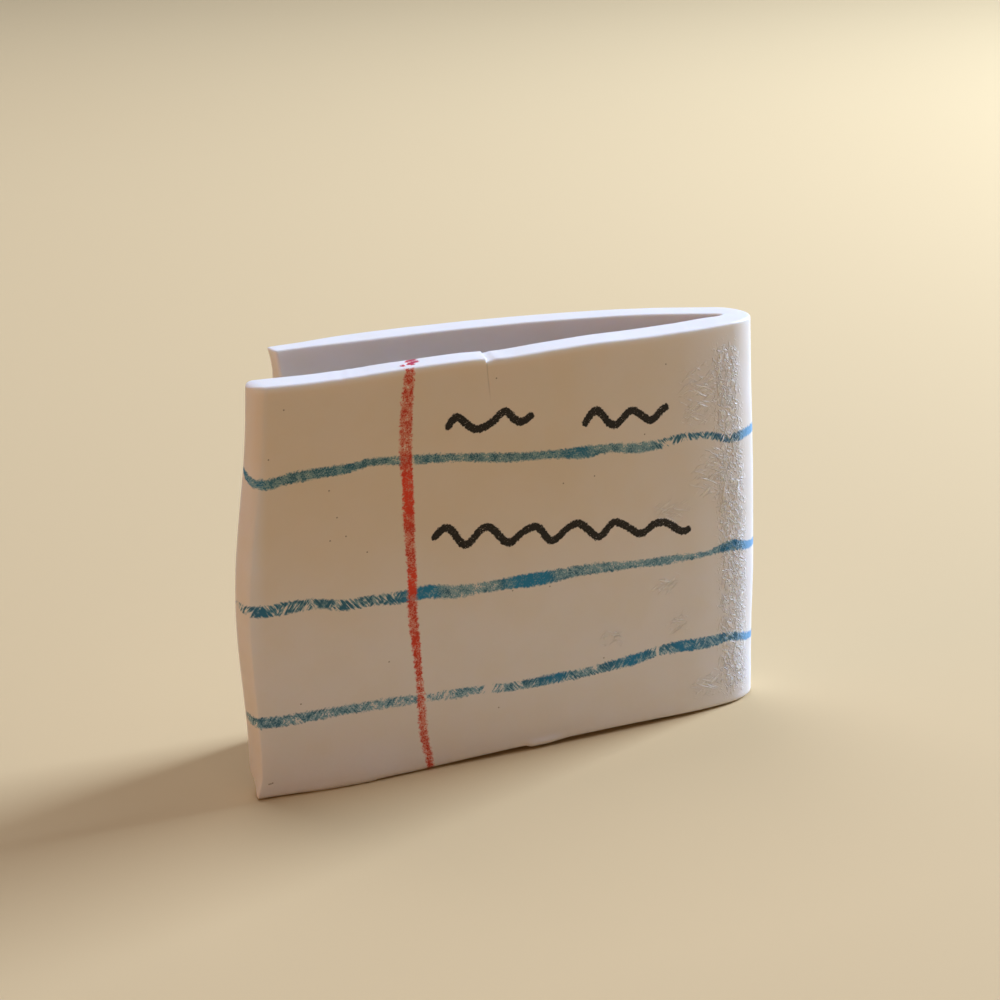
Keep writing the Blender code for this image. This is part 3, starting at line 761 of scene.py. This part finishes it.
def note_object(finish):
    """The note as one closed mesh, with all that its finish needs to know."""
    surface = Surface()
    crazing, patches = crazing_masks(surface)
    surface.raise_by(rolled_relief(surface) + crazed_relief(surface, crazing) + damage_relief(surface))
    faces, corners = sheet_faces(surface)

    mesh = bpy.data.meshes.new("clay_note")
    mesh.from_pydata((surface.points.reshape(-1, 3) * METRES).tolist(), [], faces)
    mesh.uv_layers.new(name="OFBake").data.foreach_set("uv", corners.ravel().astype(np.float32))
    drawn = (surface.drawn_along, surface.drawn_height)
    squiggles, separation = squiggle_distance(*drawn), rule_separation(*drawn)
    fields = {
        "flat_place": np.stack((surface.run, surface.drawn_height, INNER_OFFSET * (1.0 - surface.drawn)), -1),
        "blue_marks": rule_marks(*drawn),
        "red_marks": margin_marks(*drawn),
        "black_marks": np.stack((squiggles, crack_mask(surface), separation), -1),
        "surface_masks": np.stack((surface.drawn, crazing, patches), -1),
    }
    for name, values in fields.items():
        mesh.attributes.new(name, "FLOAT_VECTOR", "POINT").data.foreach_set(
            "vector", values.reshape(-1, 3).astype(np.float32).ravel())
    mesh.materials.append(finish)
    mesh.shade_smooth()
    note = bpy.data.objects.new("clay_note", mesh)
    bpy.context.scene.collection.objects.link(note)
    return note


class Value:
    """A shader socket that takes part in Python sums."""

    def __init__(self, finish, socket):
        self.finish = finish
        self.socket = socket

    def __add__(self, other):
        return self.finish.sum("ADD", self, other)

    def __sub__(self, other):
        return self.finish.sum("SUBTRACT", self, other)

    def __rsub__(self, other):
        return self.finish.sum("SUBTRACT", other, self)

    def __mul__(self, other):
        return self.finish.sum("MULTIPLY", self, other)

    __radd__ = __add__
    __rmul__ = __mul__


class Finish:
    """A material under way: every node of it is made here."""

    def __init__(self, name):
        self.material = bpy.data.materials.new(name)
        self.material.use_nodes = True
        self.tree = self.material.node_tree
        self.shader = self.tree.nodes["Principled BSDF"]

    def feed(self, socket, value):
        if isinstance(value, Value):
            self.tree.links.new(value.socket, socket)
        else:
            socket.default_value = value

    def node(self, kind, settings=None, sockets=None, output=0):
        """One node: first its settings, then the values or links of its sockets."""
        made = self.tree.nodes.new(kind)
        for setting, value in (settings or {}).items():
            setattr(made, setting, value)
        for socket, value in (sockets or {}).items():
            self.feed(made.inputs[socket], value)
        return Value(self, made.outputs[output])

    def set_shader(self, sockets):
        for socket, value in sockets.items():
            self.feed(self.shader.inputs[socket], value)

    def sum(self, operation, *values):
        return self.node("ShaderNodeMath", {"operation": operation}, dict(enumerate(values)))

    def largest(self, first, second):
        return self.sum("MAXIMUM", first, second)

    def fade(self, value, low, high):
        """0 at low, 1 at high, smooth between; low may be the larger of the two."""
        sockets = {"Value": value, "From Min": low, "From Max": high}
        return self.node("ShaderNodeMapRange", {"interpolation_type": "SMOOTHSTEP"}, sockets)

    def colours(self, share, first, second):
        """The first colour, going over to the second by its share."""
        first, second = (c if isinstance(c, Value) else (*c, 1.0) for c in (first, second))
        return self.node("ShaderNodeMix", {"data_type": "RGBA"}, {0: share, 6: first, 7: second}, output=2)

    def field(self, name):
        """The three numbers that the mesh holds under a name, and all of them as a vector."""
        whole = self.node("ShaderNodeAttribute", {"attribute_name": name}, output="Vector")
        return [self.node("ShaderNodeSeparateXYZ", None, {0: whole}, output=axis) for axis in "XYZ"] + [whole]

    def grain(self, place, size, detail=1.0, distortion=0.0):
        """Smooth noise from 0 to 1 with grains of a size in millimetres."""
        sockets = {"Vector": place, "Scale": 1.0 / size, "Detail": detail, "Distortion": distortion}
        return self.node("ShaderNodeTexNoise", None, sockets)

    def hatched(self, place, angle, length, width, distortion=0.6):
        """Noise drawn out into short strokes at an angle in degrees, in millimetres."""
        turned = self.node("ShaderNodeMapping", {"vector_type": "TEXTURE"}, {
            "Vector": place, "Rotation": (0.0, 0.0, math.radians(angle)), "Scale": (length, width, 1.0)})
        return self.grain(turned, 1.0, 1.0, distortion)

    def bump(self, height):
        """Relief from a height in millimetres."""
        return self.node("ShaderNodeBump", None, {"Strength": 1.0, "Distance": METRES, "Height": height})


def pencil(finish, marks, place, hatch, separate, fold_sheen, drawn):
    """One pencil's marks: a soft tint under hatched, speckled strokes. Returns tint and strokes.

    Separate strokes leave bare clay between them, and over the lit fold, where sheen is painted,
    there are hardly any strokes over the tint and more of the tint shows.
    """
    away, width, pressure, _ = marks
    ragged = width + PENCIL_RAGGED * (hatch - 0.5) + 0.5 * (finish.grain(place, 0.3, 3.0) - 0.5)
    inside = finish.fade(away, ragged + PENCIL_SOFT, ragged - PENCIL_SOFT) * drawn
    tooth = finish.grain(place, 0.13, 2.0)
    level = tooth + separate * (hatch - tooth) + PENCIL_UNEVEN * (finish.grain(place, 0.8) - 0.5)
    level = level + PENCIL_PRESS * (pressure - PENCIL_EVEN)
    crisp = PENCIL_CRISP * (2.0 - separate)
    strokes = finish.fade(level, 0.5 - crisp, 0.5 + crisp) * inside * (1.0 - 0.75 * fold_sheen)
    bare = 0.20 + 0.17 * separate - 0.3 * fold_sheen
    return inside * finish.fade(level, bare, bare + 0.14), strokes


def clay_finish():
    """White clay with a satin skin, drawn on in blue, red and black pencil."""
    clay = Finish("clay_white")
    drawn, crazing, patches, _ = clay.field("surface_masks")
    run, height, _, place = clay.field("flat_place")

    mottle = clay.grain(place, 5.0, 3.0)
    colour = clay.colours(clay.fade(mottle, 0.35, 0.7), CLAY, CLAY_WARM)

    flecks = [clay.hatched(place, *stroke, 1.0) for stroke in UPRIGHT_FLECKS + FAN_FLECKS]
    upright, fan = clay.largest(*flecks[:2]), clay.largest(*flecks[2:])
    upright_flecks = clay.fade(upright + 0.12 * crazing, 0.62, 0.80) * crazing
    fan_flecks = clay.fade(fan + 0.14 * patches, 0.70, 0.82) * patches
    wrinkles = clay.largest(fan_flecks, upright_flecks)
    # Flecks of crazing are paler: a painted glint, and partly the paler skin of the crazed clay
    colour = clay.colours(wrinkles, colour, CLAY_GLINT)

    turning = clay.fade(clay.grain(place, 2.2), 0.44, 0.56)
    leaning = clay.hatched(place, 58.0, *BLUE_STROKE)
    leaning_back = clay.hatched(place, -52.0, *BLUE_STROKE)
    blue_hatch = leaning + turning * (leaning_back - leaning)
    marks, separate = clay.field("blue_marks"), clay.field("black_marks")[2]
    # Painted sheen on the lit fold: the blue there is paler and brighter, with fewer dark strokes
    fold_sheen = clay.fade(run, *FOLD_SHEEN_START) * clay.fade(run, *FOLD_SHEEN_END)
    tint, strokes = pencil(clay, marks, place, blue_hatch, separate, fold_sheen, drawn)
    colour = clay.colours(tint * BLUE_COVER, colour, clay.colours(fold_sheen, BLUE_SOFT, BLUE_FOLD_SHEEN))
    blue = clay.colours(clay.fade(marks[2], 0.64, 0.96), BLUE_DEEP, BLUE_FULL)
    colour = clay.colours(strokes, colour, blue)
    marked = strokes

    marks = clay.field("red_marks")
    red_hatch = clay.grain(place, 0.24, 1.0, 0.8)
    tint, strokes = pencil(clay, marks, place, red_hatch, RED_SEPARATION, 0.0, drawn)
    colour = clay.colours(tint * RED_COVER, colour, RED_SOFT)
    red = clay.colours(clay.fade(marks[2], 0.76, 1.0), RED_DEEP, RED_FULL)
    colour = clay.colours(strokes, colour, clay.colours(clay.fade(marks[2], 1.1, 1.4), red, RED_HOOK))
    marked = clay.largest(marked, strokes)

    away, crack = clay.field("black_marks")[:2]
    # The hairline crack is drawn darker along its line
    colour = clay.colours(crack * CRACK_COVER, colour, DUST_AND_CRACK_DARK)
    streaks = clay.hatched(place, 35.0, 0.5, 0.13)
    ragged = SQUIGGLE_HALF_WIDTH + 0.34 * (clay.grain(place, 0.22, 2.0) - 0.5)
    inside = clay.fade(away, ragged + 0.05, ragged - 0.05) * drawn
    strokes = clay.fade(streaks * 0.4 + clay.grain(place, 0.1, 2.0) * 0.6, 0.28, 0.40) * inside
    colour = clay.colours(strokes, colour, BLACK_PENCIL)
    marked = clay.largest(marked, strokes)

    specks = None
    for distance, level in SPECKS:
        away = clay.node("ShaderNodeVectorMath", {"operation": "DISTANCE"},
                         {0: place, 1: (distance + SPECK_DRIFT * distance, level, 0.0)}, output="Value")
        speck = clay.fade(away, SPECK_RADIUS * 1.5, SPECK_RADIUS * 0.4)
        specks = speck if specks is None else clay.largest(specks, speck)
    colour = clay.colours(specks * DUST_COVER, colour, DUST_AND_CRACK_DARK)

    # Painted warm bounce light: colour multiplied warmer from 8 mm up to just under the top edge, strongest
    # from the front end to 24 mm along and gone by 58 mm
    warm_bounce = clay.fade(height, *WARM_BOUNCE_FOOT) * clay.fade(height, *WARM_BOUNCE_TOP)
    warm_bounce = warm_bounce * clay.fade(run, *WARM_BOUNCE_END) * clay.fade(run, *WARM_BOUNCE_START)
    colour = clay.node("ShaderNodeMix", {"data_type": "RGBA", "blend_type": "MULTIPLY"},
                       {0: warm_bounce, 6: colour, 7: (*PAINTED_WARM_BOUNCE, 1.0)}, output=2)

    skin = clay.grain(place, 0.9, 2.0) * 0.010 + clay.grain(place, 0.16, 2.0) * 0.003
    relief = skin + fan_flecks * FAN_RELIEF + upright_flecks * UPRIGHT_RELIEF
    relief = relief - specks * SPECK_RELIEF + marked * MARK_RELIEF
    satin = SATIN + SATIN_UNEVEN * clay.grain(place, 1.6, 2.0)
    roughness = satin + MARKED_ROUGHER * marked - WRINKLED_SMOOTHER * wrinkles
    clay.set_shader({
        "Base Color": colour, "Roughness": roughness, "Normal": clay.bump(relief),
        "Subsurface Weight": 0.3, "Subsurface Radius": (1.0, 0.8, 0.6), "Subsurface Scale": 0.0012,
        "IOR": 1.5, "Specular IOR Level": 0.4,
    })
    return clay.material


def floor():
    """A wide pale floor."""
    paper = Finish("pale_floor")
    place = paper.node("ShaderNodeTexCoord", output="Object")
    shade = paper.grain(place, 0.25, 2.0)
    paper.set_shader({
        "Base Color": paper.colours(shade, FLOOR, FLOOR_WARM), "Roughness": 0.9, "Specular IOR Level": 0.15})
    bpy.ops.mesh.primitive_plane_add(size=FLOOR_SIZE, location=(0.0, 0.0, -FLOOR_DROP))
    plane = bpy.context.object
    plane.name = "floor"
    plane.data.materials.append(paper.material)


def area_light(name, azimuth, elevation, distance, size, level, colour):
    """A soft square lamp that looks at the note; azimuth 0 is +X, and 90 is +Y.

    Its level is how bright it makes a white surface that faces it.
    """
    lamp = bpy.data.lights.new(name, "AREA")
    lamp.size, lamp.energy, lamp.color = size, level * (math.pi * distance) ** 2, colour
    holder = bpy.data.objects.new(name, lamp)
    a, e = math.radians(azimuth), math.radians(elevation)
    direction = Vector((math.cos(e) * math.cos(a), math.cos(e) * math.sin(a), math.sin(e)))
    holder.location = NOTE_MIDDLE + direction * distance
    holder.rotation_euler = direction.to_track_quat("Z", "Y").to_euler()
    bpy.context.scene.collection.objects.link(holder)


def studio():
    """Plain soft light: a key from beyond the fold, softer light round it, and a pale, dim room."""
    area_light("key", *KEY)
    area_light("back", *BACK)
    area_light("sky", *SKY)
    area_light("front", *FRONT)
    area_light("fill", *FILL)
    room = bpy.data.worlds.new("pale_room")
    room.use_nodes = True
    nodes, links = room.node_tree.nodes, room.node_tree.links
    seen = nodes.new("ShaderNodeMapRange")
    seen.inputs["To Min"].default_value = ROOM_LIGHT
    seen.inputs["To Max"].default_value = ROOM_SEEN
    links.new(nodes.new("ShaderNodeLightPath").outputs["Is Camera Ray"], seen.inputs["Value"])
    links.new(seen.outputs[0], nodes["Background"].inputs["Strength"])
    nodes["Background"].inputs["Color"].default_value = (*ROOM, 1.0)
    bpy.context.scene.world = room
    bpy.context.scene.view_settings.view_transform = "Standard"


def camera():
    """The photograph's view: its place and tilt were worked out from the note's corners."""
    lens = bpy.data.cameras.new("camera")
    lens.lens, lens.sensor_width = LENS, SENSOR
    lens.clip_start, lens.clip_end = CLIP_START, CLIP_END
    holder = bpy.data.objects.new("camera", lens)
    holder.location = CAMERA_PLACE
    holder.rotation_euler = [math.radians(angle) for angle in CAMERA_TURN]
    bpy.context.scene.collection.objects.link(holder)
    bpy.context.scene.camera = holder


note = note_object(clay_finish())
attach(note, "root")
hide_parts("folded_sheet")
floor()
studio()
camera()
